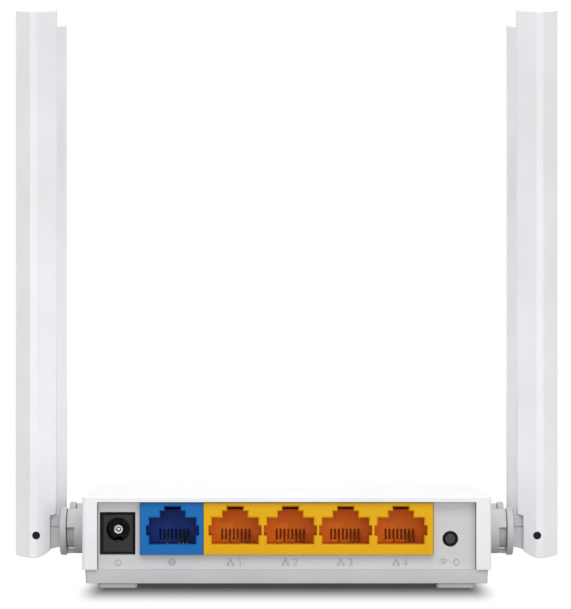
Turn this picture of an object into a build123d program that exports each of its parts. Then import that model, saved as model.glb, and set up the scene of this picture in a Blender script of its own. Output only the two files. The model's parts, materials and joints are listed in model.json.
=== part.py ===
from build123d import *
import os
from math import atan2, cos, radians, sin

# A small desktop wireless router with four folding antennas, in millimetres.
# X runs to the right for someone who faces the connector panel, the panel faces -Y and
# Z is up. The origin is on the table, under the middle of the case.

# ---------------------------------------------------------------- driving dimensions
# Case
case_width = 103.1
case_depth = 84.0
case_top = 23.1
seam_z = 4.65  # parting line between the cover and the base
foot_height = 1.2
cover_wall = 1.8
roof = 1.4
corner_radius = 0.9
inner_corner_radius = 0.6
top_edge_radius = 0.4
border_side = 3.75  # the cover's frame beside the connector panel
border_depth = 3.2  # thickness of that frame, front to back
base_inset = 0.68  # how far the base stands back under the cover
base_taper = 0.22  # how much further in its underside is
base_floor = 1.8
base_wall = 2.7
lip_height = 1.6
lip_rear = -34.0  # the lip stops short of the connector panel
gap = 0.15  # visible gap between two fixed mouldings
lip_thickness = 1.3
cover_post_radius = 2.5
cover_post_hole = 9.0
vent_pitch = 3.2
vent_count = 5
vent_size = (8.0, 1.4)
standoff_radius = 3.2
board_standoff_radius = 2.5
base_vent_pitch = (24.0, 4.0)
base_vent_grid = (2, 12)
base_vent_size = (19.0, 1.6)
keyhole_x = 30.0
keyhole_y = -8.0
keyhole_radius = 3.8
keyhole_neck_y = -4.0
keyhole_neck = (8.5, 3.9)
foot_spacing = (85.4, 70.0)
foot_size = 10.0
foot_corner = 1.2
foot_edge = 0.1

# Connector panel
panel_recess = 2.4
panel_thickness = 2.0
panel_rim = 1.2
panel_rim_width = 97.6
panel_top_gap = 0.1

# Circuit board and what fastens it and the case
board_width = 95.0
board_rear = -37.3
board_front = 38.0
board_bottom = 6.8
board_thickness = 1.6
board_corner = 1.5
case_screw_x = 44.0
case_screw_y = 23.6
board_screw_places = [(0.0, 32.0), (-36.0, 10.0)]
screw_radius = 1.25
screw_head_radius = 2.2
screw_head_height = 1.5
screw_length = 13.0
screw_seat = 0.6  # how deep the heads' seats reach into the standoffs
screw_way = 0.15  # round the screws where they pass freely
screw_hole_slack = 0.02
board_screw_radius = 1.0
board_screw_head_radius = 1.9
board_screw_length = 4.8
cross_recess = (2.2, 0.5)
cross_recess_depth = 0.8

# Modular sockets: a single one for the modem line and a block of four
port_pitch = 13.95
first_lan_x = -13.02
wan_x = -28.8
port_face_y = -41.0
port_top = 21.45
port_depth = 21.0
wan_span = (-36.9, -21.05)
lan_span = (-20.95, 36.95)
plug_width = 11.8
plug_floor = 11.0
plug_ceiling = 17.7
latch_width = 6.35
latch_ceiling = 19.4
latch_tip_width = 4.1
latch_tip_ceiling = 20.55
side_notch = 0.8
side_notch_span = (13.25, 15.8)
cavity_depth = 12.0
latch_tip_depth = 17.0
mouth_chamfer = 0.32
comb_slot_depth = 3.0
comb_slot_width = 0.48
comb_slot_span = (11.75, 14.35)
comb_pitch = 1.0
comb_ways = 8
floor_groove_depth = 0.6
contact_fold_y = -35.6  # where the contacts turn back under the floor
contact_tail_y = -26.5
contact_offsets = (-1.5, 1.5, 2.5, 3.5)  # four of the eight ways carry a contact
contact_width = 0.4
contact_thickness = 0.3
contact_way_half = 0.3
contact_tip_z = 13.6
contact_return_z = 9.6
contact_tip_reach = 0.4  # how far the tips reach into the back wall
contact_tip_length = 0.8
contact_tip_drop = 0.1
contact_way_reach = (0.5, 0.7)  # room in front of the fold and behind the tail
lead_end_z = 5.6  # where the soldered leads end, under the board
lead_hole_radius = 0.35
peg_inset = 2.2
peg_y = -31.5
peg_radius = 1.5
peg_reach = 1.5  # below the board

# Power inlet
jack_x = -42.65
barrel_z = 14.65
barrel_radius = 3.0
barrel_depth = 9.7
jack_pin_setback = 1.3
jack_pin_radius = 1.22
jack_pin_ring = (0.62, 0.98)  # a groove round the middle of the pin's tip
jack_pin_ring_depth = 0.8
jack_pin_edge = 0.12
jack_pin_tip_round = 0.4
jack_pin_seat_y = -29.0  # where the pin enters the housing's back
jack_slot_half = 1.1
jack_leg_half = 0.25
jack_leg_width = 2.0
jack_leg_way = 0.3
jack_spring_slot = (-36.0, 11.2, 13.0)  # its front end, floor and roof
jack_spring_points = [(-35.6, 11.6), (-32.9, 12.4)]
jack_spring_end_z = 11.6
jack_spring_half = 0.9
jack_spring_thickness = 0.3
jack_half = 4.8
jack_edge = 0.25
jack_face_y = -38.6
jack_body_y = -36.9
jack_back_y = -27.2
jack_pin_leg_y = -27.65
jack_spring_leg_y = -29.3
jack_top = 19.5
jack_front = (7.9, 9.8)
jack_front_z = 13.72
jack_cutout = (9.05, 10.8)
jack_cutout_x = -42.75
jack_cutout_radius = 0.2

# Reset button
reset_x = 41.35
reset_z = 12.35
reset_hole_radius = 2.0
reset_stem_radius = 1.35
switch_face_y = -37.0
switch_depth = 3.6
switch_width = 6.2
switch_top = 15.6
switch_edge = 0.4
switch_mouth = 0.3  # thickness of the wall in front of the button's collar
switch_room = 1.6
switch_room_radius = 2.0
switch_leg_x = 2.25
switch_leg_half = 0.35
switch_leg_y = (1.2, 1.5)
switch_leg_reach = 1.2
collar_radius = 1.7
collar_length = 0.5
stem_proud = -0.4  # the button stands behind the panel's face
stem_edge = 0.3

# Electronics, as places with sizes and heights; a lead count where there are leads
transformers = [((-14, -12), (13, 7), 5.5, 8), ((13, -12), (26, 8), 5.8, 20)]
processor = ((0, 8), (14, 14), 1.0)
memories = [((-19, 14), (10, 12), 1.1, 12), ((-19, 27), (5, 4), 1.6, 4)]
radio = ((24, 14), (8, 8), 0.9)
chip_gap = 0.1
chip_edge = 0.15
chip_lead = (0.4, 0.3)
chip_lead_reach = 0.9
heatsink_half = 10.0
heatsink_base = 1.6
heatsink_height = 8.0
fin_pitch = 2.7
fin_count = 8
fin_thickness = 1.0
shield_half = (9.0, 10.0)
shield_height = 2.6
shield_sheet = 0.3
shield_hole_pitch = 3.4
shield_hole_count = 5
shield_hole_radius = 0.5
capacitor_places = [(-30, -11), (-38, -8), (-29, 22)]
capacitor_radius = 3.15
capacitor_height = 7.7
capacitor_groove = (2.95, 1.4, 0.5)  # its radius, height above the board and width
inductor_place = (-29, 0)
inductor_half = 3.5
inductor_height = 4.0
inductor_corner = 1.1
small_edge = 0.4
crystal_places = [(-4, 25), (24, 30)]
crystal_size = (10.5, 3.8)
crystal_height = 3.2

# Antennas: a hub on the case, a knuckle that swivels in it and a blade that folds on a pin
antenna_y = 17.7
swivel_z = 13.25
hub_end = 56.8
hub_radius = 5.75
spigot_radius = 3.8
spigot_end = 47.2
shaft_radius = 2.5
shaft_end = 45.6
running_clearance = 0.05
disc_start = 56.95
disc_end = 58.6
disc_radius = 6.17
clip_span = (46.3, 47.1)
clip_radius = 3.7
clip_groove_radius = 1.9
stop_slot_start = 54.85
stop_slot_floor = 4.3
stop_half_angle = 11.0
swivel_travel = 90.0
pin_x = 64.7
pin_z = 12.3
pin_radius = 1.0
pin_half_length = 3.4
tongue_half = 1.8
tongue_round = 4.2
tongue_heel = (-3.4, -3.6)  # from the pin
tongue_foot = -3.0
tongue_crown = 5.2
tongue_line_depth = 0.3
tongue_line_half = 0.15
shaft_bore_radius = 1.1
shaft_bore_end = 62.1
tab_clearance = 0.3
tab_gap = 0.2
hub_edge = 0.25
disc_edge = 0.3
pin_edge = 0.15
clip_opening = (1.0, 1.3, 5.0)  # its half sizes along and across the shaft, and its height
nut_radius = 4.85
nut_thickness = 1.85
tongue_line_z = 14.45  # a shallow line across both its faces
blade_inner = -4.95  # from the pin towards the case
blade_outer = 5.45  # from the pin outwards
blade_ridge = (-0.25, 1.6)
blade_half = 5.2
blade_edge_half = 2.2
blade_wall = 1.2
blade_edge_fillet = 0.4
blade_top = 148.5  # where the slanted top crosses the blade's middle
blade_top_rise = 0.22  # its slope, rising towards the front of the router
blade_spare = 5.0  # cut away again by the slanted top
blade_heel = (-3.45, -3.5)  # from the pin, as the other points of the rounded foot are
blade_heel_mid = (-2.0, -5.0)
blade_toe = -5.77
blade_toe_mid = (2.9, -5.57)
blade_outer_foot = -4.9
blade_step = (5.05, 5.45)  # the cut-out's top beside the tongue and at the inner edge
blade_slot = (-8.0, 4.45)
blade_slot_top = 5.35
blade_seam = (0.7, 0.2)
cavity_floor = 20.0
cavity_top = 146.5
element_span = (-3.6, 3.7)
element_half = 0.4
element_z = (32.0, 140.0)
feed_radius = 0.65
feed_overlap = 2.0

# Antenna leads, from the hollow shafts to the board
lead_start_x = 52.0
lead_turn_x = (43.0, 40.0)
lead_pad_x = 35.5
lead_rise = 0.9
lead_bend = 2.0
lead_radius = 0.55
pad_half = 1.3
pad_height = 1.5

# Light guide and lamps
lamp_places = [(x, 35.2) for x in (-16.0, -8.0, 0.0, 8.0, 16.0)]
lamp_window_z = 14.0
lamp_window_radius = 0.85
lamp_half = (0.8, 0.4)
lamp_height = 0.6
guide_y = (34.4, 37.2)
guide_rise = 0.8  # above the board
guide_overlap = 1.2
guide_end = 5.0  # beyond the outer lamps
guide_leg_places = [(-20, 36), (20, 36)]
guide_leg_radius = 0.6

# ---------------------------------------------------------------- derived values
side_x = case_width / 2
rear_y = -case_depth / 2
front_y = case_depth / 2
ceiling_z = case_top - roof
opening_width = case_width - 2 * border_side
panel_face_y = rear_y + panel_recess
border_back_y = rear_y + border_depth
floor_z = foot_height + base_floor
board_top = board_bottom + board_thickness
base_width = case_width - 2 * base_inset
base_depth = case_depth - 2 * base_inset
case_screw_places = [
    (-case_screw_x, -case_screw_y),
    (case_screw_x, -case_screw_y),
    (-case_screw_x, case_screw_y),
    (case_screw_x, case_screw_y),
]
lan_places = [first_lan_x + n * port_pitch for n in range(4)]
antenna_places = {
    "left_rear": (-1, -antenna_y),
    "right_rear": (1, -antenna_y),
    "left_front": (-1, antenna_y),
    "right_front": (1, antenna_y),
}

os.makedirs("parts", exist_ok=True)


def save(piece, name):
    """Labels a finished piece and writes it."""
    piece.part.label = name
    export_step(piece.part, f"parts/{name}.step")


def from_rear(y):
    """The plane that faces the connector side at the given depth; its axes are X and Z."""
    return Plane.XZ.offset(-y)


def box(x, y, z, mode=Mode.ADD):
    """A block between the low and high value of each axis, in the part being built."""
    with Locations(((x[0] + x[1]) / 2, (y[0] + y[1]) / 2, (z[0] + z[1]) / 2)):
        Box(x[1] - x[0], y[1] - y[0], z[1] - z[0], mode=mode)


def upright(places, radius, low, high, mode=Mode.ADD):
    """Round columns at the given places, in the part being built."""
    with Locations(*[(x, y, (low + high) / 2) for x, y in places]):
        Cylinder(radius, high - low, mode=mode)


def along_y(x, z, radius, start, end, mode=Mode.ADD):
    """A round length along Y, in the part being built."""
    with Locations((x, (start + end) / 2, z)):
        Cylinder(radius, end - start, rotation=(90, 0, 0), mode=mode)


def outward(side, y, radius, start, end, mode=Mode.ADD):
    """A round length on a swivel axis; start and end count outward from the case's middle."""
    with Locations((side * (start + end) / 2, y, swivel_z)):
        Cylinder(radius, end - start, rotation=(0, 90, 0), mode=mode)


# ---------------------------------------------------------------- case


def make_top_cover():
    with BuildPart() as cover:
        with BuildSketch(Plane.XY.offset(seam_z)):
            RectangleRounded(case_width, case_depth, corner_radius)
        extrude(amount=case_top - seam_z)
        fillet(cover.faces().sort_by(Axis.Z)[-1].edges(), top_edge_radius)
        with BuildSketch(Plane.XY.offset(seam_z)):
            with Locations((0, (border_depth - cover_wall) / 2)):
                inside_depth = case_depth - border_depth - cover_wall
                RectangleRounded(case_width - 2 * cover_wall, inside_depth, inner_corner_radius)
        extrude(amount=ceiling_z - seam_z, mode=Mode.SUBTRACT)
        # Opening for the connector panel, down to the parting line
        opening_x = (-opening_width / 2, opening_width / 2)
        box(opening_x, (rear_y, border_back_y), (seam_z, ceiling_z), Mode.SUBTRACT)
        # Posts that press on the board and take the case screws
        upright(case_screw_places, cover_post_radius, board_top, ceiling_z)
        thread_radius = screw_radius + screw_hole_slack
        upright(case_screw_places, thread_radius, board_top, board_top + cover_post_hole, Mode.SUBTRACT)
        # Antenna holes and air slots through both side walls
        with BuildSketch(Plane.YZ):
            with Locations((-antenna_y, swivel_z), (antenna_y, swivel_z)):
                Circle(spigot_radius + running_clearance)
            with Locations((0, swivel_z)):
                with GridLocations(vent_pitch, 1, vent_count, 1):
                    SlotOverall(*vent_size, rotation=90)
        extrude(amount=side_x, both=True, mode=Mode.SUBTRACT)
        # Lamp windows through the front wall
        window_radius = lamp_window_radius + running_clearance
        for x, _ in lamp_places:
            along_y(x, lamp_window_z, window_radius, front_y - cover_wall, front_y, Mode.SUBTRACT)
    return cover


def make_bottom_case():
    with BuildPart() as base:
        with BuildSketch(Plane.XY.offset(foot_height)):
            RectangleRounded(base_width - 2 * base_taper, base_depth - 2 * base_taper, corner_radius)
        with BuildSketch(Plane.XY.offset(seam_z)):
            RectangleRounded(base_width, base_depth, corner_radius)
        loft()
        with BuildSketch(Plane.XY.offset(floor_z)):
            RectangleRounded(base_width - 2 * base_wall, base_depth - 2 * base_wall, corner_radius)
        extrude(amount=seam_z - floor_z, mode=Mode.SUBTRACT)
        # Locating lip inside the cover's two sides and front
        lip_width = 2 * (side_x - cover_wall - gap)
        lip_depth = 2 * (front_y - cover_wall - gap)
        with BuildSketch(Plane.XY.offset(seam_z)):
            RectangleRounded(lip_width, lip_depth, inner_corner_radius)
            Rectangle(lip_width - 2 * lip_thickness, lip_depth - 2 * lip_thickness, mode=Mode.SUBTRACT)
            with Locations((0, lip_rear / 2 + rear_y / 2)):
                Rectangle(case_width, lip_rear - rear_y, mode=Mode.SUBTRACT)
        extrude(amount=lip_height)
        # Standoffs under the board, with countersunk screw seats at the corners
        seat_radius = screw_head_radius + screw_way
        upright(case_screw_places, standoff_radius, floor_z, board_bottom)
        upright(case_screw_places, seat_radius, foot_height, floor_z + screw_seat, Mode.SUBTRACT)
        upright(case_screw_places, screw_radius + screw_way, floor_z, board_bottom, Mode.SUBTRACT)
        thread_radius = board_screw_radius + screw_hole_slack
        upright(board_screw_places, board_standoff_radius, floor_z, board_bottom)
        upright(board_screw_places, thread_radius, floor_z, board_bottom, Mode.SUBTRACT)
        # Air slots and two keyholes for hanging the router on a wall
        with BuildSketch(Plane.XY.offset(foot_height)):
            with GridLocations(*base_vent_pitch, *base_vent_grid):
                SlotOverall(*base_vent_size)
            with Locations((-keyhole_x, keyhole_y), (keyhole_x, keyhole_y)):
                Circle(keyhole_radius)
            with Locations((-keyhole_x, keyhole_neck_y), (keyhole_x, keyhole_neck_y)):
                SlotOverall(*keyhole_neck, rotation=90)
        extrude(amount=base_floor, mode=Mode.SUBTRACT)
    return base


def make_rubber_feet():
    with BuildPart() as feet:
        with BuildSketch(Plane.XY):
            with GridLocations(*foot_spacing, 2, 2):
                RectangleRounded(foot_size, foot_size, foot_corner)
        extrude(amount=foot_height)
        chamfer(feet.faces().group_by(Axis.Z)[0].edges(), foot_edge)
    return feet


def make_screws(places, seat_z, length, radius, head_radius, head_up):
    """Pan-head screws with a cross recess; the head is above the seat or below it."""
    way = 1 if head_up else -1
    with BuildPart() as screws:
        upright(places, radius, *sorted((seat_z, seat_z - way * length)))
        head_top = seat_z + way * screw_head_height
        upright(places, head_radius, *sorted((seat_z, head_top)))
        with BuildSketch(Plane.XY.offset(head_top)):
            with Locations(*places):
                Rectangle(*cross_recess)
                Rectangle(*reversed(cross_recess))
        extrude(amount=-way * cross_recess_depth, mode=Mode.SUBTRACT)
    return screws


def make_rear_panel():
    with BuildPart() as panel:
        box(
            (gap - opening_width / 2, opening_width / 2 - gap),
            (panel_face_y, panel_face_y + panel_thickness),
            (seam_z, ceiling_z - panel_top_gap),
        )
        # Wider rim behind the cover's frame, which keeps the panel in
        box(
            (-panel_rim_width / 2, panel_rim_width / 2),
            (border_back_y, border_back_y + panel_rim),
            (seam_z, ceiling_z - panel_top_gap),
        )
        with BuildSketch(from_rear(panel_face_y)):
            with Locations((jack_cutout_x, jack_front_z)):
                RectangleRounded(*jack_cutout, jack_cutout_radius)
            with Locations((reset_x, reset_z)):
                Circle(reset_hole_radius)
            # One opening for all five sockets, open at the top
            left, right = wan_span[0] - gap, lan_span[1] + gap
            with Locations(((left + right) / 2, (board_top + case_top) / 2)):
                Rectangle(right - left, case_top - board_top + 2 * running_clearance)
        extrude(amount=-(border_back_y + panel_rim - panel_face_y), mode=Mode.SUBTRACT)
    return panel


# ---------------------------------------------------------------- connectors


def peg_places(span):
    return [(span[0] + peg_inset, peg_y), (span[1] - peg_inset, peg_y)]


def make_port_housing(span, ports):
    back_y = port_face_y + cavity_depth
    with BuildPart() as housing:
        box(span, (port_face_y, port_face_y + port_depth), (board_top, port_top))
        with BuildSketch(from_rear(port_face_y)):
            for x in ports:
                for width, low, high in (
                    (plug_width, plug_floor, plug_ceiling),
                    (latch_width, plug_floor, latch_ceiling),
                    (latch_tip_width, plug_floor, latch_tip_ceiling),
                ):
                    with Locations((x, (low + high) / 2)):
                        Rectangle(width, high - low)
        extrude(amount=-cavity_depth, mode=Mode.SUBTRACT)
        mouth = housing.faces().filter_by(Axis.Y).sort_by(Axis.Y)[0]
        chamfer([edge for wire in mouth.inner_wires() for edge in wire.edges()], mouth_chamfer)
        for x in ports:
            notches = (x - plug_width / 2 - side_notch, x + plug_width / 2 + side_notch)
            box(notches, (port_face_y, back_y), side_notch_span, Mode.SUBTRACT)
            # The room for the latch's tip runs on past the back wall
            tip_x = (x - latch_tip_width / 2, x + latch_tip_width / 2)
            tip_y = (back_y, port_face_y + latch_tip_depth)
            box(tip_x, tip_y, (latch_ceiling, latch_tip_ceiling), Mode.SUBTRACT)
            # Eight ways side by side, as slots in the back wall and grooves in the floor
            for way in range(comb_ways):
                slot_x = x + (way - (comb_ways - 1) / 2) * comb_pitch
                slot = (slot_x - comb_slot_width / 2, slot_x + comb_slot_width / 2)
                groove_z = (plug_floor - floor_groove_depth, plug_floor)
                box(slot, (back_y, back_y + comb_slot_depth), comb_slot_span, Mode.SUBTRACT)
                box(slot, (contact_fold_y, back_y), groove_z, Mode.SUBTRACT)
            # Deep floor slots in which the contacts fold back to the board
            way_y = (contact_fold_y - contact_way_reach[0], contact_tail_y + contact_way_reach[1])
            for offset in contact_offsets:
                way_x = (x + offset - contact_way_half, x + offset + contact_way_half)
                box(way_x, way_y, (board_top, plug_floor), Mode.SUBTRACT)
        upright(peg_places(span), peg_radius, board_bottom - peg_reach, board_top)
    return housing


def make_port_contacts(ports):
    tip_y = port_face_y + cavity_depth + contact_tip_reach
    with BuildPart() as contacts:
        with BuildSketch(Plane.YZ):
            with BuildLine():
                Polyline(
                    (tip_y, contact_tip_z),
                    (tip_y - contact_tip_length, contact_tip_z - contact_tip_drop),
                    (contact_fold_y, plug_floor),
                    (contact_fold_y, contact_return_z),
                    (contact_tail_y, contact_return_z),
                    (contact_tail_y, lead_end_z),
                )
            trace(line_width=contact_thickness)
        wire = extrude(amount=contact_width / 2, both=True, mode=Mode.PRIVATE)
        with Locations(*[(x + offset, 0, 0) for x in ports for offset in contact_offsets]):
            add(wire)
    return contacts


def make_dc_jack_housing():
    with BuildPart() as jack:
        box((jack_x - jack_half, jack_x + jack_half), (jack_body_y, jack_back_y), (board_top, jack_top))
        with BuildSketch(from_rear(jack_body_y)):
            with Locations((jack_x, jack_front_z)):
                Rectangle(*jack_front)
        extrude(amount=jack_body_y - jack_face_y)
        chamfer(jack.faces().filter_by(Axis.Y).sort_by(Axis.Y)[0].edges(), jack_edge)
        along_y(jack_x, barrel_z, barrel_radius, jack_face_y, jack_face_y + barrel_depth, Mode.SUBTRACT)
        seat_radius = jack_pin_radius + screw_hole_slack
        along_y(jack_x, barrel_z, seat_radius, jack_pin_seat_y, jack_back_y, Mode.SUBTRACT)
        # Slots for the spring contact under the barrel, its leg and the pin's leg
        slot_x = (jack_x - jack_slot_half, jack_x + jack_slot_half)
        spring_y, spring_floor, spring_roof = jack_spring_slot
        leg_y = (jack_spring_leg_y - jack_leg_way, jack_spring_leg_y + jack_leg_way)
        box(slot_x, (spring_y, leg_y[1]), (spring_floor, spring_roof), Mode.SUBTRACT)
        box(slot_x, leg_y, (board_top, spring_floor), Mode.SUBTRACT)
        box(slot_x, (jack_pin_leg_y - jack_leg_way, jack_back_y), (board_top, barrel_z), Mode.SUBTRACT)
    return jack


def make_dc_jack_pin():
    with BuildPart() as pin:
        tip_y = jack_face_y + jack_pin_setback
        along_y(jack_x, barrel_z, jack_pin_radius, tip_y, jack_back_y)
        chamfer(pin.faces().filter_by(Axis.Y).sort_by(Axis.Y)[0].edges(), jack_pin_edge)
        with BuildSketch(from_rear(tip_y)):
            with Locations((jack_x, barrel_z)):
                Circle(jack_pin_ring[1])
                Circle(jack_pin_ring[0], mode=Mode.SUBTRACT)
        extrude(amount=-jack_pin_ring_depth, mode=Mode.SUBTRACT)
        tip_edges = pin.edges().filter_by(GeomType.CIRCLE).sort_by(Axis.Y)
        fillet([edge for edge in tip_edges if edge.radius < jack_pin_ring[1]][0], jack_pin_tip_round)
        leg_x = (jack_x - jack_leg_width / 2, jack_x + jack_leg_width / 2)
        leg_y = (jack_pin_leg_y - jack_leg_half, jack_pin_leg_y + jack_leg_half)
        box(leg_x, leg_y, (lead_end_z, barrel_z))
    return pin


def make_dc_jack_terminals():
    with BuildPart() as spring:
        with BuildSketch(Plane.YZ.offset(jack_x)):
            with BuildLine():
                Polyline(
                    *jack_spring_points,
                    (jack_spring_leg_y, jack_spring_end_z),
                    (jack_spring_leg_y, lead_end_z),
                )
            trace(line_width=jack_spring_thickness)
        extrude(amount=jack_spring_half, both=True)
    return spring


def make_reset_switch():
    half = switch_width / 2
    stem_way = reset_stem_radius + screw_way
    mouth_y = switch_face_y + switch_mouth
    leg_y = [switch_face_y + place for place in switch_leg_y]
    with BuildPart() as switch:
        body_y = (switch_face_y, switch_face_y + switch_depth)
        box((reset_x - half, reset_x + half), body_y, (board_top, switch_top))
        chamfer(switch.edges().filter_by(Axis.Y), switch_edge)
        # Narrow mouth and the wider room behind it, which keeps the button's collar in
        along_y(reset_x, reset_z, stem_way, switch_face_y, mouth_y, Mode.SUBTRACT)
        along_y(reset_x, reset_z, switch_room_radius, mouth_y, switch_face_y + switch_room, Mode.SUBTRACT)
        for x in (reset_x - switch_leg_x, reset_x + switch_leg_x):
            leg_x = (x - switch_leg_half, x + switch_leg_half)
            box(leg_x, leg_y, (board_bottom - switch_leg_reach, board_top))
    return switch


def make_reset_button():
    collar_y = switch_face_y + switch_mouth + 2 * running_clearance
    with BuildPart() as button:
        along_y(reset_x, reset_z, reset_stem_radius, panel_face_y - stem_proud, collar_y)
        fillet(button.edges().sort_by(Axis.Y)[0], stem_edge)
        along_y(reset_x, reset_z, collar_radius, collar_y, collar_y + collar_length)
    return button


# ---------------------------------------------------------------- circuit board


def make_main_board():
    with BuildPart() as board:
        with BuildSketch(Plane.XY.offset(board_bottom)):
            with Locations((0, (board_rear + board_front) / 2)):
                RectangleRounded(board_width, board_front - board_rear, board_corner)
            with Locations(*case_screw_places):
                Circle(screw_radius + screw_way, mode=Mode.SUBTRACT)
            with Locations(*board_screw_places):
                Circle(board_screw_radius + screw_way, mode=Mode.SUBTRACT)
            with Locations(*peg_places(wan_span), *peg_places(lan_span)):
                Circle(peg_radius + 2 * running_clearance, mode=Mode.SUBTRACT)
            # Plated holes for the contacts' tails, the jack's legs and the switch's legs
            tails = [x + offset for x in [wan_x, *lan_places] for offset in contact_offsets]
            with Locations(*[(x, contact_tail_y) for x in tails]):
                Circle(lead_hole_radius, mode=Mode.SUBTRACT)
            with Locations((jack_x, jack_pin_leg_y), (jack_x, jack_spring_leg_y)):
                Rectangle(jack_leg_width + gap, 2 * jack_leg_half + gap, mode=Mode.SUBTRACT)
            leg_y = switch_face_y + sum(switch_leg_y) / 2
            leg_size = (2 * switch_leg_half + gap, switch_leg_y[1] - switch_leg_y[0] + gap)
            with Locations((reset_x - switch_leg_x, leg_y), (reset_x + switch_leg_x, leg_y)):
                Rectangle(*leg_size, mode=Mode.SUBTRACT)
            with Locations(*guide_leg_places):
                Circle(guide_leg_radius + running_clearance, mode=Mode.SUBTRACT)
        extrude(amount=board_thickness)
    return board


def make_chip(place, size, height, lead_count=0):
    """A flat package on the board, with rows of leads along its two long sides."""
    (x, y), (width, depth) = place, size
    with BuildPart() as chip:
        chip_z = (board_top + chip_gap, board_top + height)
        box((x - width / 2, x + width / 2), (y - depth / 2, y + depth / 2), chip_z)
        chamfer(chip.faces().sort_by(Axis.Z)[-1].edges(), chip_edge)
        if lead_count:
            lead_width, lead_height = chip_lead
            with Locations((x, y, board_top + lead_height / 2)):
                with GridLocations(width / lead_count, 1, lead_count, 1):
                    Box(lead_width, depth + 2 * chip_lead_reach, lead_height)
    return chip


def make_group(*chips):
    """Several packages of one kind as one node of separate solids."""
    with BuildPart() as group:
        for chip in chips:
            add(chip.part)
    return group


def make_heatsink(place, low):
    x, y = place
    fin_height = heatsink_height - heatsink_base
    with BuildPart() as sink:
        sides_x = (x - heatsink_half, x + heatsink_half)
        sides_y = (y - heatsink_half, y + heatsink_half)
        box(sides_x, sides_y, (low, low + heatsink_base))
        with Locations((x, y, low + heatsink_base + fin_height / 2)):
            with GridLocations(fin_pitch, 1, fin_count, 1):
                Box(fin_thickness, 2 * heatsink_half, fin_height)
    return sink


def make_radio_shield(place):
    """A lid of thin sheet over the radio, with a field of small holes."""
    x, y = place
    half_x, half_y = shield_half
    under_x, under_y = half_x - shield_sheet, half_y - shield_sheet
    under_z = board_top + shield_height - shield_sheet
    with BuildPart() as shield:
        box((x - half_x, x + half_x), (y - half_y, y + half_y), (board_top, board_top + shield_height))
        box((x - under_x, x + under_x), (y - under_y, y + under_y), (board_top, under_z), Mode.SUBTRACT)
        with Locations((x, y, under_z)):
            holes = (shield_hole_pitch, shield_hole_pitch, shield_hole_count, shield_hole_count)
            with GridLocations(*holes):
                Cylinder(shield_hole_radius, 3 * shield_sheet, mode=Mode.SUBTRACT)
    return shield


def make_capacitors():
    groove_radius, groove_rise, groove_width = capacitor_groove
    with BuildPart() as caps:
        upright(capacitor_places, capacitor_radius, board_top, board_top + capacitor_height)
        with BuildSketch(Plane.XY.offset(board_top + groove_rise)):
            with Locations(*capacitor_places):
                Circle(capacitor_radius + groove_width)
                Circle(groove_radius, mode=Mode.SUBTRACT)
        extrude(amount=groove_width, mode=Mode.SUBTRACT)
    return caps


def make_power_inductor():
    x, y = inductor_place
    with BuildPart() as inductor:
        sides_x = (x - inductor_half, x + inductor_half)
        sides_y = (y - inductor_half, y + inductor_half)
        box(sides_x, sides_y, (board_top, board_top + inductor_height))
        chamfer(inductor.edges().filter_by(Axis.Z), inductor_corner)
        fillet(inductor.faces().sort_by(Axis.Z)[-1].edges(), small_edge)
    return inductor


def make_crystals():
    with BuildPart() as crystals:
        with BuildSketch(Plane.XY.offset(board_top)):
            with Locations(*crystal_places):
                SlotOverall(*crystal_size)
        extrude(amount=crystal_height)
        fillet(crystals.faces().group_by(Axis.Z)[-1].edges(), small_edge)
    return crystals


def make_status_leds():
    half_x, half_y = lamp_half
    with BuildPart() as leds:
        for x, y in lamp_places:
            box((x - half_x, x + half_x), (y - half_y, y + half_y), (board_top, board_top + lamp_height))
    return leds


def make_light_guide():
    """One clear bar over the lamps, with a round end in each window of the front wall."""
    bar_x = lamp_places[-1][0] + guide_end
    with BuildPart() as guide:
        box((-bar_x, bar_x), guide_y, (board_top + guide_rise, lamp_window_z + guide_overlap))
        for x, _ in lamp_places:
            along_y(x, lamp_window_z, lamp_window_radius, guide_y[1], front_y - running_clearance)
        upright(guide_leg_places, guide_leg_radius, board_bottom, board_top + guide_rise)
    return guide


# ---------------------------------------------------------------- antennas


def make_hub(side, y):
    """The fixed hub: a collar outside the wall and a threaded spigot through it."""
    with BuildPart() as hub:
        outward(side, y, hub_radius, side_x, hub_end)
        rim = hub.edges().filter_by(GeomType.CIRCLE).sort_by(Axis.X)[-1 if side > 0 else 0]
        fillet(rim, hub_edge)
        outward(side, y, spigot_radius, spigot_end, side_x)
        outward(side, y, shaft_radius + running_clearance, spigot_end, hub_end, Mode.SUBTRACT)
        # Stop slot round the lower half of the collar's end
        above = radians(stop_half_angle + swivel_travel + 1 - 90)
        across, rise = 2 * hub_radius * cos(above), 2 * hub_radius * sin(above)
        with BuildSketch(Plane.YZ.offset(side * stop_slot_start)):
            with Locations((y, swivel_z)):
                Circle(hub_radius + 1)
                Circle(stop_slot_floor, mode=Mode.SUBTRACT)
            with BuildLine():
                Polyline(
                    (y, swivel_z),
                    (y + across, swivel_z + rise),
                    (y + across, swivel_z + 2 * hub_radius),
                    (y - across, swivel_z + 2 * hub_radius),
                    (y - across, swivel_z + rise),
                    close=True,
                )
            make_face(mode=Mode.SUBTRACT)
        extrude(amount=side * (hub_end - stop_slot_start), mode=Mode.SUBTRACT)
    return hub


def make_hub_nuts():
    with BuildPart() as nuts:
        for side, y in antenna_places.values():
            with BuildSketch(Plane.YZ.offset(side * (side_x - cover_wall))):
                with Locations((y, swivel_z)):
                    RegularPolygon(nut_radius, 6, rotation=30)
                    Circle(spigot_radius + screw_hole_slack, mode=Mode.SUBTRACT)
            extrude(amount=-side * nut_thickness)
    return nuts


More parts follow.
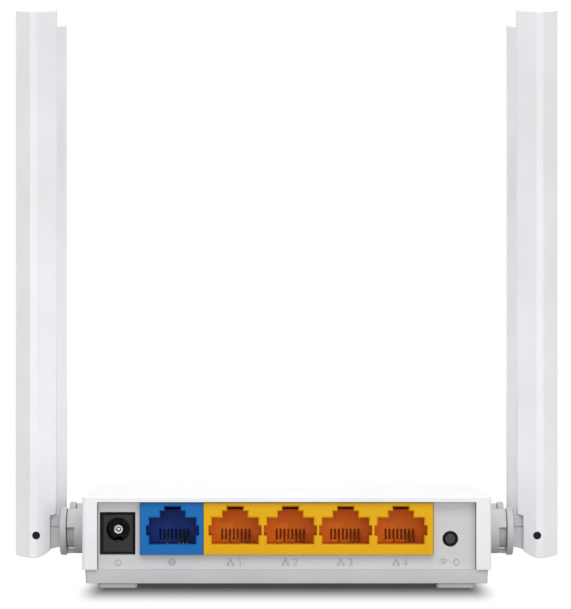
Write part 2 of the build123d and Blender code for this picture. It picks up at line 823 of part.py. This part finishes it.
def make_knuckle(side, y):
    """Turns in the hub on its hollow shaft; its tongue carries the folding blade."""
    with BuildPart() as knuckle:
        outward(side, y, disc_radius, disc_start, disc_end)
        fillet(knuckle.edges().filter_by(GeomType.CIRCLE), disc_edge)
        outward(side, y, shaft_radius, shaft_end, disc_start)
        outward(side, y, clip_radius, *clip_span, Mode.SUBTRACT)
        outward(side, y, clip_groove_radius, *clip_span)
        # Stop tab under the shaft, which runs in the hub's slot
        inner, outer = stop_slot_floor + tab_clearance, hub_radius

        def tab_point(radius, turn):
            angle = radians(turn * stop_half_angle)
            return (y + radius * sin(angle), swivel_z - radius * cos(angle))

        with BuildSketch(Plane.YZ.offset(side * disc_start)):
            with BuildLine():
                for radius in (inner, outer):
                    ThreePointArc(*[tab_point(radius, turn) for turn in (-1, 0, 1)])
                for turn in (-1, 1):
                    Line(tab_point(inner, turn), tab_point(outer, turn))
            make_face()
        extrude(amount=-side * (disc_start - stop_slot_start - tab_gap))
        # Tongue between the blade's two cheeks
        root_x = side * (disc_end - running_clearance)
        heel_x = side * (pin_x + tongue_heel[0])
        with BuildSketch(from_rear(y)):
            with BuildLine():
                Polyline(
                    (side * pin_x, pin_z - tongue_round),
                    (heel_x, pin_z + tongue_heel[1]),
                    (root_x, pin_z + tongue_foot),
                    (root_x, pin_z + tongue_crown),
                    (heel_x, pin_z + tongue_crown),
                    (side * pin_x, pin_z + tongue_round),
                )
                ThreePointArc(
                    (side * pin_x, pin_z + tongue_round),
                    (side * (pin_x + tongue_round), pin_z),
                    (side * pin_x, pin_z - tongue_round),
                )
            make_face()
        extrude(amount=tongue_half, both=True)
        faces = (y - tongue_half, y + tongue_half)
        along_y(side * pin_x, pin_z, pin_radius + running_clearance, *faces, Mode.SUBTRACT)
        outward(side, y, shaft_bore_radius, shaft_end, shaft_bore_end, Mode.SUBTRACT)
        line_x = sorted((side * disc_end, heel_x))
        line_z = (tongue_line_z - tongue_line_half, tongue_line_z + tongue_line_half)
        for face_y in faces:
            line_y = (face_y - tongue_line_depth, face_y + tongue_line_depth)
            box(line_x, line_y, line_z, Mode.SUBTRACT)
    return knuckle


def make_clip(side, y):
    """Spring ring in the shaft's groove, which holds the knuckle in the hub."""
    with BuildPart() as clip:
        outward(side, y, clip_radius, *clip_span)
        outward(side, y, clip_groove_radius + screw_hole_slack, *clip_span, Mode.SUBTRACT)
        middle = side * (clip_span[0] + clip_span[1]) / 2
        along, across, rise = clip_opening
        opening_x = (middle - along, middle + along)
        box(opening_x, (y - across, y + across), (swivel_z, swivel_z + rise), Mode.SUBTRACT)
    return clip


def make_pin(side, y):
    with BuildPart() as pin:
        along_y(side * pin_x, pin_z, pin_radius, y - pin_half_length, y + pin_half_length)
        chamfer(pin.edges().filter_by(GeomType.CIRCLE), pin_edge)
    return pin


def make_blade(side, y):
    """The whole blade, before it is split into its two half-shells."""

    def corner(across, through):
        return (side * (pin_x + across), y + through)

    def foot_point(across, rise):
        return (side * (pin_x + across), pin_z + rise)

    left, right = blade_ridge
    outline = [
        corner(blade_inner, -blade_edge_half),
        corner(left, -blade_half),
        corner(right, -blade_half),
        corner(blade_outer, -blade_edge_half),
        corner(blade_outer, blade_edge_half),
        corner(right, blade_half),
        corner(left, blade_half),
        corner(blade_inner, blade_edge_half),
    ]
    with BuildPart() as blade:
        with BuildSketch(Plane.XY) as section:
            with BuildLine():
                Polyline(*outline, close=True)
            make_face()
            fillet(section.vertices(), blade_edge_fillet)
        extrude(amount=blade_top + blade_spare)
        # Slanted top
        tilt = atan2(blade_top_rise, 1)
        top = Plane((0, y, blade_top), x_dir=(1, 0, 0), z_dir=(0, -sin(tilt), cos(tilt)))
        split(bisect_by=top, keep=Keep.BOTTOM)
        # Rounded foot about the pin, and the step that clears the knuckle
        heel = foot_point(*blade_heel)
        toe = foot_point(0, blade_toe)
        outer = foot_point(blade_outer + blade_edge_fillet, blade_outer_foot)
        far = blade_inner - blade_edge_fillet
        with BuildSketch(from_rear(y)):
            with BuildLine():
                ThreePointArc(heel, foot_point(*blade_heel_mid), toe)
                ThreePointArc(toe, foot_point(*blade_toe_mid), outer)
                Polyline(
                    outer,
                    (outer[0], blade_top + blade_spare),
                    (side * (pin_x + far), blade_top + blade_spare),
                    foot_point(far, blade_step[1]),
                    foot_point(blade_heel[0], blade_step[0]),
                    heel,
                )
            make_face()
        extrude(amount=blade_half + blade_spare, both=True, mode=Mode.INTERSECT)
        # Slot for the tongue, open towards the case and downwards
        slot_half = tongue_half + gap
        slot_x = sorted(side * (pin_x + place) for place in blade_slot)
        box(slot_x, (y - slot_half, y + slot_half), (0, pin_z + blade_slot_top), Mode.SUBTRACT)
        # Hollow for the radiating element
        with BuildSketch(Plane.XY.offset(cavity_floor)):
            with BuildLine():
                Polyline(*outline, close=True)
            make_face()
            offset(amount=-blade_wall, kind=Kind.INTERSECTION, mode=Mode.REPLACE)
        extrude(amount=cavity_top - cavity_floor, mode=Mode.SUBTRACT)
        # Fine groove along both edges where the half-shells meet
        with BuildSketch(Plane.XY):
            with Locations(corner(blade_inner, 0), corner(blade_outer, 0)):
                Rectangle(*blade_seam)
        extrude(amount=blade_top + blade_spare, mode=Mode.SUBTRACT)
        pin_fit = pin_radius + screw_hole_slack
        along_y(side * pin_x, pin_z, pin_fit, y - blade_half, y + blade_half, Mode.SUBTRACT)
    return blade


def make_half_shell(blade, y, keep):
    with BuildPart() as shell:
        add(blade.part)
        split(bisect_by=from_rear(y), keep=keep)
    return shell


def make_element(side, y):
    """Radiating strip inside the blade, with its feed cable below it."""
    feed_top = element_z[0] + feed_overlap
    with BuildPart() as element:
        strip_x = sorted(side * (pin_x + place) for place in element_span)
        box(strip_x, (y - element_half, y + element_half), element_z)
        upright([(side * pin_x, y)], feed_radius, cavity_floor, feed_top)
    return element


def make_lead(side, y):
    """Coaxial lead from the hollow shaft down to its pad on the board."""
    low_z = board_top + lead_rise
    with BuildPart() as lead:
        with BuildLine() as route:
            FilletPolyline(
                (side * lead_start_x, y, swivel_z),
                (side * lead_turn_x[0], y, swivel_z),
                (side * lead_turn_x[1], y, low_z),
                (side * lead_pad_x, y, low_z),
                radius=lead_bend,
            )
        with BuildSketch(Plane(route.line @ 0, z_dir=route.line % 0)):
            Circle(lead_radius)
        sweep(path=route.line)
        pad_x = sorted((side * (lead_pad_x - pad_half), side * (lead_pad_x + pad_half)))
        box(pad_x, (y - pad_half, y + pad_half), (board_top, board_top + pad_height))
    return lead


# ---------------------------------------------------------------- all the pieces

save(make_top_cover(), "top_cover")
save(make_bottom_case(), "bottom_case")
save(make_rubber_feet(), "rubber_feet")
save(make_rear_panel(), "rear_panel")
case_screws = make_screws(
    case_screw_places, floor_z + screw_seat, screw_length, screw_radius, screw_head_radius, False
)
save(case_screws, "case_screws")
board_screws = make_screws(
    board_screw_places, board_top, board_screw_length, board_screw_radius, board_screw_head_radius, True
)
save(board_screws, "board_screws")

save(make_port_housing(wan_span, [wan_x]), "wan_port_housing")
save(make_port_contacts([wan_x]), "wan_port_contacts")
save(make_port_housing(lan_span, lan_places), "lan_port_housing")
save(make_port_contacts(lan_places), "lan_port_contacts")
save(make_dc_jack_housing(), "dc_jack_housing")
save(make_dc_jack_pin(), "dc_jack_pin")
save(make_dc_jack_terminals(), "dc_jack_terminals")
save(make_reset_switch(), "reset_switch")
save(make_reset_button(), "reset_button")

save(make_main_board(), "main_board")
save(make_group(*[make_chip(*chip) for chip in transformers]), "network_transformers")
save(make_chip(*processor), "processor_chip")
save(make_heatsink(processor[0], board_top + processor[2]), "heatsink")
save(make_group(*[make_chip(*chip) for chip in memories]), "memory_chips")
save(make_chip(*radio), "radio_chip")
save(make_radio_shield(radio[0]), "radio_shield")
save(make_capacitors(), "capacitors")
save(make_power_inductor(), "power_inductor")
save(make_crystals(), "crystals")
save(make_status_leds(), "status_leds")
save(make_light_guide(), "light_guide")

save(make_hub_nuts(), "hub_nuts")
for place, (side, y) in antenna_places.items():
    save(make_hub(side, y), f"{place}_hub")
    save(make_knuckle(side, y), f"{place}_knuckle")
    save(make_clip(side, y), f"{place}_clip")
    save(make_pin(side, y), f"{place}_pin")
    blade = make_blade(side, y)
    save(make_half_shell(blade, y, Keep.TOP), f"{place}_blade_rear")
    save(make_half_shell(blade, y, Keep.BOTTOM), f"{place}_blade_front")
    save(make_element(side, y), f"{place}_element")
    save(make_lead(side, y), f"{place}_lead")
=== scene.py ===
import json
from math import atan2, cos, pi, radians, sin

import bpy
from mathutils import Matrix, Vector


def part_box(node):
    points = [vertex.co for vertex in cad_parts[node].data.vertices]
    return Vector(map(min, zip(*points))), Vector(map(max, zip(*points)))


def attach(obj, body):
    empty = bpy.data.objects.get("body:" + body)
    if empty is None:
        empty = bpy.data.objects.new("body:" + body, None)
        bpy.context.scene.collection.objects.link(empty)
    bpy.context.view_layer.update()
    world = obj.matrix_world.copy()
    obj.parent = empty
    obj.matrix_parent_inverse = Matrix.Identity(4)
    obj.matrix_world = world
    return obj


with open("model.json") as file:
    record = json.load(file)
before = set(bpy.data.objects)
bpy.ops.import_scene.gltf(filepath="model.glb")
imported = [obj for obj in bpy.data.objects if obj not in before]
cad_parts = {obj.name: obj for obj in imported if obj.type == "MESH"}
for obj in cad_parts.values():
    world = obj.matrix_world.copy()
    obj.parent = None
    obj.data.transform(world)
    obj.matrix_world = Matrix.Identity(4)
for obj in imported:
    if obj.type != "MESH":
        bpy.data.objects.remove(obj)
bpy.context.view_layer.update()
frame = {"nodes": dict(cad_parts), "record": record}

MM = 0.001
nodes = frame["nodes"]

# ------------------------------------------------------------------ stage

CAMERA_DISTANCE = 0.782  # from the connector side of the case
CAMERA_HEIGHT = 0.0535
CAMERA_SIDE = -0.0003
CAMERA_SHIFT = 0.1174  # raises the view without tilting it, so that upright edges stay upright
CAMERA_REACH = (0.01, 20)
LENS = 183.5
SENSOR = 36

WHITE = (1, 1, 1, 1)
FILL_COLOUR = (0.97, 0.98, 1, 1)
FILL_STRENGTH = 0.62
SNOOT_BLEND = 0.6  # how much of the beam fades out towards its rim
SNOOT_RADIUS = 0.1  # of the lamp itself

FLOOR_HALF = 6.0  # half the length of a side
# The floor's own colour is the dark of its painted contact shadow; elsewhere the camera sees
# white light over it
FLOOR_SHADOW_COLOUR = (0.055, 0.050, 0.049, 1)
FLOOR_ROUGHNESS = 0.9
FLOOR_SPECULAR = 0.1
SHADOW_CENTRE = (0, -0.020, 0)
SHADOW_CORE = (0.0453, 0.021, 0)  # half the size of the floor's dark part
SHADOW_FADE = (0.0075, 0.057, 1)  # how far past it the floor is all white, by axis
SHADOW_GLOW = 0.06  # of that white, what the dark part has
FLOOR_BOUNCE = 0.5  # of that white, what lights the object from below
BOUNCE_FADE = 0.02  # how far past the dark part it does so in full


def new_node(tree, kind, operation=None, **values):
    """A node of one kind; the values go to its inputs of that name, with _ for a space."""
    node = tree.nodes.new("ShaderNode" + kind)
    if operation:
        node.operation = operation
    for name, value in values.items():
        node.inputs[name.replace("_", " ")].default_value = value
    return node


def vector_step(tree, operation, source, value=(0, 0, 0), output="Vector"):
    """What comes out of one operation on a vector and, where it takes one, a second."""
    step = new_node(tree, "VectorMath", operation)
    step.inputs[1].default_value = value
    tree.links.new(source, step.inputs[0])
    return step.outputs[output]


def make_camera():
    rear_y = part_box("top_cover")[0][1]
    data = bpy.data.cameras.new("camera")
    data.lens = LENS
    data.sensor_width = SENSOR
    data.shift_y = CAMERA_SHIFT
    data.clip_start, data.clip_end = CAMERA_REACH
    camera = bpy.data.objects.new("camera", data)
    camera.location = (CAMERA_SIDE, rear_y - CAMERA_DISTANCE, CAMERA_HEIGHT)
    camera.rotation_euler = (pi / 2, 0, 0)
    bpy.context.scene.collection.objects.link(camera)
    bpy.context.scene.camera = camera


def place_light(name, data, place, aim):
    light = bpy.data.objects.new(name, data)
    light.location = place
    light.rotation_euler = (Vector(aim) - Vector(place)).to_track_quat("-Z", "Y").to_euler()
    bpy.context.scene.collection.objects.link(light)


def make_light(name, place, aim, size, power):
    """A softbox; its size is across and up."""
    data = bpy.data.lights.new(name, "AREA")
    data.shape = "RECTANGLE"
    data.size, data.size_y = size
    data.energy = power
    place_light(name, data, place, aim)


def make_snoot(name, place, aim, radius, power):
    """A narrow soft beam that lights a round patch about the aim."""
    data = bpy.data.lights.new(name, "SPOT")
    distance = (Vector(aim) - Vector(place)).length
    data.spot_size = 2 * atan2(radius, distance)
    data.spot_blend = SNOOT_BLEND
    data.shadow_soft_size = SNOOT_RADIUS
    data.energy = power
    place_light(name, data, place, aim)


def make_world():
    """White for the camera and in reflections, a softer white as the light all round."""
    world = bpy.data.worlds.new("studio")
    world.use_nodes = True
    tree = world.node_tree
    tree.nodes.clear()
    link = tree.links.new
    output = new_node(tree, "OutputWorld")
    backdrop = new_node(tree, "Background", Color=WHITE, Strength=1.0)
    fill = new_node(tree, "Background", Color=FILL_COLOUR, Strength=FILL_STRENGTH)
    path = new_node(tree, "LightPath")
    bright = new_node(tree, "Math", "MAXIMUM")
    mix = new_node(tree, "MixShader")
    link(path.outputs["Is Camera Ray"], bright.inputs[0])
    link(path.outputs["Is Glossy Ray"], bright.inputs[1])
    link(bright.outputs["Value"], mix.inputs["Fac"])
    link(fill.outputs["Background"], mix.inputs[1])
    link(backdrop.outputs["Background"], mix.inputs[2])
    link(mix.outputs["Shader"], output.inputs["Surface"])
    bpy.context.scene.world = world


def floor_paper():
    """White for the camera, but for a soft dark patch as the contact shadow of the case.

    The floor also lights the object from below, more weakly and only outside that patch.
    """
    paint = bpy.data.materials.new("floor_paper")
    paint.use_nodes = True
    tree = paint.node_tree
    link = tree.links.new
    shader = tree.nodes["Principled BSDF"]
    shader.inputs["Base Color"].default_value = FLOOR_SHADOW_COLOUR
    shader.inputs["Roughness"].default_value = FLOOR_ROUGHNESS
    shader.inputs["Specular IOR Level"].default_value = FLOOR_SPECULAR

    # How far a point is outside the dark part, by axis
    place = new_node(tree, "TexCoord")
    centred = vector_step(tree, "SUBTRACT", place.outputs["Object"], SHADOW_CENTRE)
    mirrored = vector_step(tree, "ABSOLUTE", centred)
    outside = vector_step(tree, "SUBTRACT", mirrored, SHADOW_CORE)
    past = vector_step(tree, "MAXIMUM", outside)

    # The white for the camera, which fades in more slowly along Y than along X
    scaled = vector_step(tree, "DIVIDE", past, SHADOW_FADE)
    glow = new_node(tree, "MapRange", To_Min=SHADOW_GLOW)
    glow.interpolation_type = "SMOOTHSTEP"
    link(vector_step(tree, "LENGTH", scaled, output="Value"), glow.inputs["Value"])

    # The white for everything else, which fades in alike all round
    bounce = new_node(tree, "MapRange", From_Max=BOUNCE_FADE, To_Max=FLOOR_BOUNCE)
    bounce.interpolation_type = "SMOOTHSTEP"
    link(vector_step(tree, "LENGTH", past, output="Value"), bounce.inputs["Value"])

    path = new_node(tree, "LightPath")
    seen = new_node(tree, "Mix")
    seen.data_type = "FLOAT"
    light = new_node(tree, "Emission", Color=WHITE, Strength=1.0)
    mix = new_node(tree, "MixShader")
    link(path.outputs["Is Camera Ray"], seen.inputs["Factor"])
    link(bounce.outputs["Result"], seen.inputs["A"])
    link(glow.outputs["Result"], seen.inputs["B"])
    link(seen.outputs["Result"], mix.inputs["Fac"])
    link(shader.outputs["BSDF"], mix.inputs[1])
    link(light.outputs["Emission"], mix.inputs[2])
    link(mix.outputs["Shader"], tree.nodes["Material Output"].inputs["Surface"])
    return paint


def make_floor():
    half = FLOOR_HALF
    mesh = bpy.data.meshes.new("floor")
    corners = [(-half, -half, 0), (half, -half, 0), (half, half, 0), (-half, half, 0)]
    mesh.from_pydata(corners, [], [(0, 1, 2, 3)])
    floor = bpy.data.objects.new("floor", mesh)
    bpy.context.scene.collection.objects.link(floor)
    mesh.materials.append(floor_paper())


# ------------------------------------------------------------------ materials

# Behind a socket's face, where the painted shade of its inside starts to deepen the colour and
# where it is deepest
RECESS_SHADE_SPAN = (0.0004, 0.006)
CLOUD_SCALE = 55
CLOUD_DETAIL = 3
CLOUD_SPAN = (0.3, 0.7)  # the part of the noise that the tone runs over
GLOSS_SPREAD = 0.05
GLOSS_LEAST = 0.02
FINE_DETAIL = 2
BEVEL_SAMPLES = 4
BUMP_STRENGTH = 0.5
COAT_ROUGHNESS = 0.08
SCATTER_RADIUS = (1, 0.8, 0.6)
SCATTER_DEPTH = 0.4 * MM


def paint_recess_shade(tree, place, tones, recess_shade):
    """Turns the colour towards a darker, deeper one from the sockets' faces inwards: painted
    shade, tinted as by light bounced between the sockets' walls.
    """
    face_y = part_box("lan_port_housing")[0][1]
    start, end = (face_y + depth for depth in RECESS_SHADE_SPAN)
    split = new_node(tree, "SeparateXYZ")
    depth = new_node(tree, "MapRange", From_Min=start, From_Max=end)
    mix = new_node(tree, "Mix")
    mix.data_type = "RGBA"
    mix.inputs["B"].default_value = (*recess_shade, 1)
    tree.links.new(place.outputs["Object"], split.inputs["Vector"])
    tree.links.new(split.outputs["Y"], depth.inputs["Value"])
    tree.links.new(depth.outputs["Result"], mix.inputs["Factor"])
    tree.links.new(tones.outputs["Color"], mix.inputs["A"])
    return mix.outputs["Result"]


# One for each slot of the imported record: colour, roughness and what differs from the usual
SURFACES = {
    "cover_plastic": ((0.84, 0.84, 0.86), 0.36, dict(coat=0.15)),
    # base, panel and hinge plastics are the white of the cover and antennas made darker:
    # painted shade of the recess, the overhang and the hinges
    "base_plastic": ((0.63, 0.63, 0.64), 0.52, dict(grain=2200, grain_depth=0.02)),
    "panel_plastic": ((0.61, 0.61, 0.62), 0.5, dict(grain=2200, grain_depth=0.02)),
    "antenna_plastic": ((0.84, 0.84, 0.86), 0.33, dict(coat=0.15, edge=0.3)),
    "hinge_plastic": ((0.53, 0.53, 0.54), 0.45, dict(grain=2000, grain_depth=0.012)),
    "foot_rubber": ((0.84, 0.84, 0.85), 0.8, dict(grain=3000, grain_depth=0.02, edge=0.03)),
    "jack_black": (
        (0.012, 0.011, 0.011),
        0.5,
        dict(grain=2500, grain_depth=0.03, tone=0.2, specular=0.35),
    ),
    # The colours for the sockets' insides are painted shade, darker and deeper than their
    # plastic
    "socket_blue": (
        (0.010, 0.155, 0.46),
        0.35,
        dict(tone=0.06, specular=0.1, recess_shade=(0.014, 0.058, 0.34)),
    ),
    "socket_yellow": (
        (0.80, 0.43, 0.006),
        0.35,
        dict(tone=0.03, specular=0.1, recess_shade=(0.92, 0.26, 0.010)),
    ),
    "contact_gold": ((0.36, 0.24, 0.10), 0.5, dict(grain=4000, metal=1.0, edge=0.04)),
    "plated_steel": ((0.42, 0.41, 0.39), 0.25, dict(grain=4000, metal=1.0, edge=0.05)),
    "screw_steel": ((0.52, 0.52, 0.54), 0.35, dict(grain=3000, metal=1.0, edge=0.08)),
    "button_plastic": ((0.032, 0.036, 0.040), 0.5, dict(grain=2500, tone=0.1, specular=0.35)),
    "board_laminate": ((0.02, 0.17, 0.07), 0.35, dict(grain=900, tone=0.15)),
    "chip_black": ((0.022, 0.022, 0.024), 0.6, dict(grain=5000, grain_depth=0.02, tone=0.1)),
    "heatsink_metal": ((0.58, 0.59, 0.61), 0.4, dict(grain=1500, metal=1.0)),
    "shield_metal": ((0.64, 0.64, 0.65), 0.3, dict(grain=1500, metal=1.0, edge=0.08)),
    "capacitor_can": ((0.50, 0.51, 0.55), 0.28, dict(metal=1.0)),
    "ferrite": ((0.07, 0.07, 0.075), 0.6, dict(grain=3000, grain_depth=0.03)),
    "lamp_lens": ((0.82, 0.85, 0.70), 0.2, dict(tone=0.02)),
    "guide_clear": ((0.80, 0.84, 0.86), 0.12, dict(tone=0.02, scatter=0.3)),
    "lead_jacket": ((0.015, 0.015, 0.016), 0.45, dict(grain=3000)),
    "element_board": ((0.03, 0.2, 0.1), 0.4, dict(tone=0.2)),
    "pin_steel": ((0.016, 0.016, 0.018), 0.5, dict(grain=4000, metal=0.4, specular=0.2)),
}


def surface(
    name,
    colour,
    roughness,
    grain=1100,
    grain_depth=0.006,
    tone=0.04,
    coat=0.0,
    metal=0.0,
    edge=0.14,
    scatter=0.0,
    specular=0.5,
    recess_shade=None,
):
    """A surface with fine grain, faint tone and gloss variation, and softened edges.

    grain is how many grains there are in a metre; grain_depth, their height, and edge, the
    radius of the edges, are in millimetres. The colour for the insides of the openings is
    painted shade: darker and deeper than the plastic, as the shade and the light bounced
    there.
    """
    material = bpy.data.materials.new(name)
    material.use_nodes = True
    tree = material.node_tree
    shader = tree.nodes["Principled BSDF"]
    link = tree.links.new

    place = new_node(tree, "TexCoord")
    cloud = new_node(tree, "TexNoise", Scale=CLOUD_SCALE, Detail=CLOUD_DETAIL)
    link(place.outputs["Object"], cloud.inputs["Vector"])

    tones = new_node(tree, "ValToRGB")
    dark = [c * (1 - tone) for c in colour]
    light = [min(1.0, c * (1 + tone)) for c in colour]
    for stop, position, shade in zip(tones.color_ramp.elements, CLOUD_SPAN, (dark, light)):
        stop.position = position
        stop.color = (*shade, 1)
    link(cloud.outputs["Fac"], tones.inputs["Fac"])
    if recess_shade:
        link(paint_recess_shade(tree, place, tones, recess_shade), shader.inputs["Base Color"])
    else:
        link(tones.outputs["Color"], shader.inputs["Base Color"])

    glossiest = max(GLOSS_LEAST, roughness - GLOSS_SPREAD)
    dullest = min(1.0, roughness + GLOSS_SPREAD)
    gloss = new_node(tree, "MapRange", To_Min=glossiest, To_Max=dullest)
    link(cloud.outputs["Fac"], gloss.inputs["Value"])
    link(gloss.outputs["Result"], shader.inputs["Roughness"])

    fine = new_node(tree, "TexNoise", Scale=grain, Detail=FINE_DETAIL)
    link(place.outputs["Object"], fine.inputs["Vector"])
    edges = new_node(tree, "Bevel", Radius=edge * MM)
    edges.samples = BEVEL_SAMPLES
    bump = new_node(tree, "Bump", Strength=BUMP_STRENGTH, Distance=grain_depth * MM)
    link(fine.outputs["Fac"], bump.inputs["Height"])
    link(edges.outputs["Normal"], bump.inputs["Normal"])
    link(bump.outputs["Normal"], shader.inputs["Normal"])

    shader.inputs["Metallic"].default_value = metal
    shader.inputs["Coat Weight"].default_value = coat
    shader.inputs["Coat Roughness"].default_value = COAT_ROUGHNESS
    shader.inputs["Specular IOR Level"].default_value = specular
    if scatter:
        shader.inputs["Subsurface Weight"].default_value = scatter
        shader.inputs["Subsurface Radius"].default_value = SCATTER_RADIUS
        shader.inputs["Subsurface Scale"].default_value = SCATTER_DEPTH
    return material


def make_materials():
    return {
        name: surface(name, colour, roughness, **rest)
        for name, (colour, roughness, rest) in SURFACES.items()
    }


def paint_nodes(materials):
    slot_of = {part["node"]: part["material_slot"] for part in frame["record"]["subparts"]}
    for name, node in nodes.items():
        node.data.materials.clear()
        node.data.materials.append(materials[slot_of[name]])


# ------------------------------------------------------------------ raised symbols

STROKE = 0.13 * MM  # half the width of a raised line
STROKE_SUNK = 0.02 * MM  # how far the lines' middles are behind the panel's face
STROKE_STEPS = 2  # how finely the lines are rounded
SYMBOL_COLOUR = (0.42, 0.42, 0.43)
SYMBOL_ROUGHNESS = 0.5
SYMBOL_HEIGHT = 1.75 * MM
LABEL_Z = 6.45 * MM
NUMBER_X = 1.2 * MM  # from a socket's middle; its network symbol is as far to the other side
WAVE_X = -1.8 * MM  # from the reset button's middle, as the next one
RETURN_X = 1.6 * MM


# The symbols are drawn about their middles, with SYMBOL_HEIGHT as the unit
def arc(centre, radius, start, end, steps=20):
    """Points of an arc; the angles are in degrees, anticlockwise from the right."""
    turns = [radians(start + (end - start) * n / steps) for n in range(steps + 1)]
    return [(centre[0] + radius * cos(a), centre[1] + radius * sin(a)) for a in turns]


def oval(width, height, steps=24):
    turns = [2 * pi * n / steps for n in range(steps + 1)]
    return [(width / 2 * cos(a), height / 2 * sin(a)) for a in turns]


def power_symbol():
    return [arc((0, -0.04), 0.42, 125, 415), [(0, 0.06), (0, 0.5)]]


def globe_symbol():
    return [oval(0.96, 0.96), oval(0.42, 0.96), [(-0.48, 0), (0.48, 0)]]


def network_symbol():
    """Three boxes joined by lines, as for a wired network."""

    def square(x, y, half=0.13):
        turns = ((-1, -1), (1, -1), (1, 1), (-1, 1), (-1, -1))
        return [(x + across * half, y + up * half) for across, up in turns]

    tree = [[(0, 0.22), (0, 0)], [(-0.36, -0.22), (-0.36, 0), (0.36, 0), (0.36, -0.22)]]
    return [square(0, 0.35), square(-0.36, -0.35), square(0.36, -0.35), *tree]


def wave_symbol():
    return [arc((0, -0.4), r, 45, 135, 10) for r in (0.25, 0.55, 0.88)]


def return_symbol():
    """A ring with an arrow head, for reset."""
    radius, gap = 0.42, 50
    x, y = radius * cos(radians(gap)), radius * sin(radians(gap))
    head = [(x - 0.26, y + 0.1), (x, y), (x + 0.02, y - 0.3)]
    return [arc((0, 0), radius, gap, 360), head]


def digit_symbol(digit):
    return {
        1: [[(-0.16, 0.3), (0.04, 0.48), (0.04, -0.48)]],
        2: [arc((0, 0.2), 0.26, 160, -35, 10) + [(-0.27, -0.48), (0.28, -0.48)]],
        3: [arc((0, 0.24), 0.24, 140, -90, 10) + arc((0, -0.24), 0.25, 90, -140, 10)],
        4: [[(0.12, -0.48), (0.12, 0.48), (-0.28, -0.2), (0.3, -0.2)]],
    }[digit]


def raise_lines(name, lines, place, material):
    """Half-round raised lines on the connector panel, centred on a place given in X and Z."""
    data = bpy.data.curves.new(name, "CURVE")
    data.dimensions = "3D"
    data.bevel_depth = STROKE
    data.bevel_resolution = STROKE_STEPS
    data.use_fill_caps = True
    face_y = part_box("rear_panel")[0][1]
    for line in lines:
        spline = data.splines.new("POLY")
        spline.points.add(len(line) - 1)
        for point, (x, z) in zip(spline.points, line):
            across, up = place[0] + x * SYMBOL_HEIGHT, place[1] + z * SYMBOL_HEIGHT
            point.co = (across, face_y + STROKE_SUNK, up, 1)
    curve = bpy.data.objects.new(name, data)
    mesh = bpy.data.meshes.new_from_object(curve)
    bpy.data.objects.remove(curve)
    piece = bpy.data.objects.new(name, mesh)
    bpy.context.scene.collection.objects.link(piece)
    mesh.materials.clear()
    mesh.materials.append(material)
    for polygon in mesh.polygons:
        polygon.use_smooth = True
    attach(piece, "case")


def middle_x(box):
    low, high = box
    return (low[0] + high[0]) / 2


def make_symbols(material):
    wan_x = middle_x(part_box("wan_port_housing"))
    jack_x = middle_x(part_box("dc_jack_housing"))
    reset_x = middle_x(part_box("reset_button"))
    raise_lines("power_symbol", power_symbol(), (jack_x, LABEL_Z), material)
    raise_lines("globe_symbol", globe_symbol(), (wan_x, LABEL_Z), material)
    for mount in frame["record"]["mounts"]:
        if mount["name"].startswith("lan_socket"):
            digit = int(mount["name"][-1])
            x = mount["pos_m"][0]
            left, right = (x - NUMBER_X, LABEL_Z), (x + NUMBER_X, LABEL_Z)
            raise_lines(f"network_symbol_{digit}", network_symbol(), left, material)
            raise_lines(f"number_{digit}", digit_symbol(digit), right, material)
    raise_lines("wave_symbol", wave_symbol(), (reset_x + WAVE_X, LABEL_Z), material)
    raise_lines("return_symbol", return_symbol(), (reset_x + RETURN_X, LABEL_Z), material)


# ------------------------------------------------------------------ the scene

bpy.context.scene.view_settings.view_transform = "Standard"
make_camera()
make_world()
make_floor()

# Place, aim, size or radius of the lit patch, and power; in metres and watts
make_light("front_softbox", (0.05, -0.9, 0.95), (0, 0, 0.05), (0.9, 0.6), 5)
make_light("top_softbox", (0, 0.35, 1.0), (0, 0, 0), (1.4, 0.7), 4)
make_light("low_softbox", (0, -1.2, 0.13), (0, 0, 0.05), (1.0, 0.22), 2.2)
make_light("left_fill", (-0.9, 0.3, 0.3), (0, 0, 0.07), (0.5, 0.5), 0.7)
make_light("right_fill", (0.9, 0.3, 0.3), (0, 0, 0.07), (0.5, 0.5), 0.7)
make_snoot("right_snoot", (0.5, -0.95, 0.15), (-0.022, -0.042, 0.014), 0.042, 36)

materials = make_materials()
paint_nodes(materials)
make_symbols(surface("symbol_plastic", SYMBOL_COLOUR, SYMBOL_ROUGHNESS))
